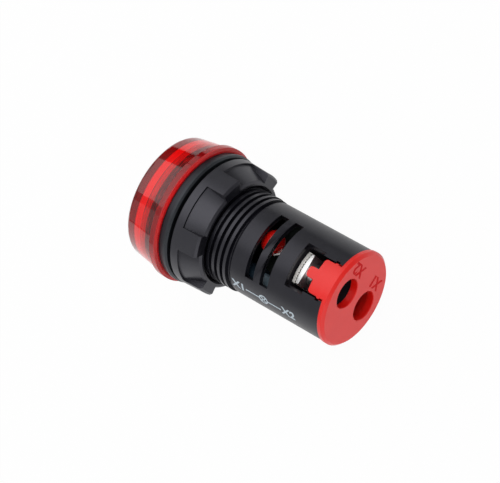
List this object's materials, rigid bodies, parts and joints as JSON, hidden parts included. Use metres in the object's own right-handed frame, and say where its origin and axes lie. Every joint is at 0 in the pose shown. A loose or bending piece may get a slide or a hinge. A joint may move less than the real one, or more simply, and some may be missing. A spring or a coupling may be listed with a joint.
{
  "type": "panel pilot light",
  "caption": "Round red panel pilot light with a black threaded barrel, ring nut, sealing ring, side vents and two screw terminals under a clipped rear cover.",
  "frame": {"origin": "on the lamp's axis, in the plane where the panel meets the gasket", "axes": "+Y along the axis toward the terminals, the lens looks toward -Y; +Z toward the X2 terminal window, -Z toward the X1 window"},
  "size_m": [0.031, 0.0509, 0.031],
  "materials": {
    "black_nylon": "fine moulded texture",
    "gasket_rubber": "smooth",
    "red_lens": "clear red polycarbonate, polished",
    "opal_red": "opal acrylic",
    "red_cover": "satin",
    "board": "solder mask",
    "led_epoxy": "moulded lamp block",
    "red_coating": "dipped gloss coating",
    "sleeve": "shrink sleeve",
    "chip_grey": "moulded epoxy",
    "resistor_coat": "lacquer",
    "tinned_wire": "tinned",
    "nickel_brass": "nickel plated brass",
    "zinc_steel": "bright zinc"
  },
  "bodies": {
    "lamp": {"housing": "black_nylon", "gasket": "gasket_rubber", "lens": "red_lens", "diffuser": "opal_red", "rear_cover": "red_cover", "led_board": "board", "driver_board": "board", "film_capacitor": "red_coating", "smoothing_capacitor": "sleeve", "bridge_rectifier": "chip_grey", "link_pin_1": "tinned_wire", "link_pin_2": "tinned_wire", "led_1": "led_epoxy", "led_2": "led_epoxy", "led_3": "led_epoxy", "led_4": "led_epoxy", "led_5": "led_epoxy", "led_6": "led_epoxy", "resistor_1": "resistor_coat", "resistor_2": "resistor_coat", "resistor_3": "resistor_coat", "terminal_plate_x1": "nickel_brass", "terminal_plate_x2": "nickel_brass"},
    "nut": {"nut": "black_nylon"},
    "clamp_x1": {"clamp_washer_x1": "zinc_steel"},
    "screw_x1": {"terminal_screw_x1": "zinc_steel"},
    "clamp_x2": {"clamp_washer_x2": "zinc_steel"},
    "screw_x2": {"terminal_screw_x2": "zinc_steel"}
  },
  "joints": [
    {"name": "nut_travel", "type": "slide", "parent": "lamp", "child": "nut", "axis": [0, 1, 0], "range_m": [-0.0006, 0.0385]},
    {"name": "clamp_lift_x1", "type": "slide", "parent": "lamp", "child": "clamp_x1", "axis": [0, 1, 0], "range_m": [0, 0.0024]},
    {"name": "screw_turn_x1", "type": "hinge", "parent": "clamp_x1", "child": "screw_x1", "pos_m": [0, 0.0298, -0.0045], "axis": [0, 1, 0], "range_deg": [0, 1731.46]},
    {"name": "clamp_lift_x2", "type": "slide", "parent": "lamp", "child": "clamp_x2", "axis": [0, 1, 0], "range_m": [0, 0.0024]},
    {"name": "screw_turn_x2", "type": "hinge", "parent": "clamp_x2", "child": "screw_x2", "pos_m": [0, 0.0298, 0.0045], "axis": [0, 1, 0], "range_deg": [0, 1731.46]}
  ],
  "couplings": [
    {"joint": "screw_turn_x1", "follows": "clamp_lift_x1", "rad_per_m": 12566},
    {"joint": "screw_turn_x2", "follows": "clamp_lift_x2", "rad_per_m": 12566}
  ]
}
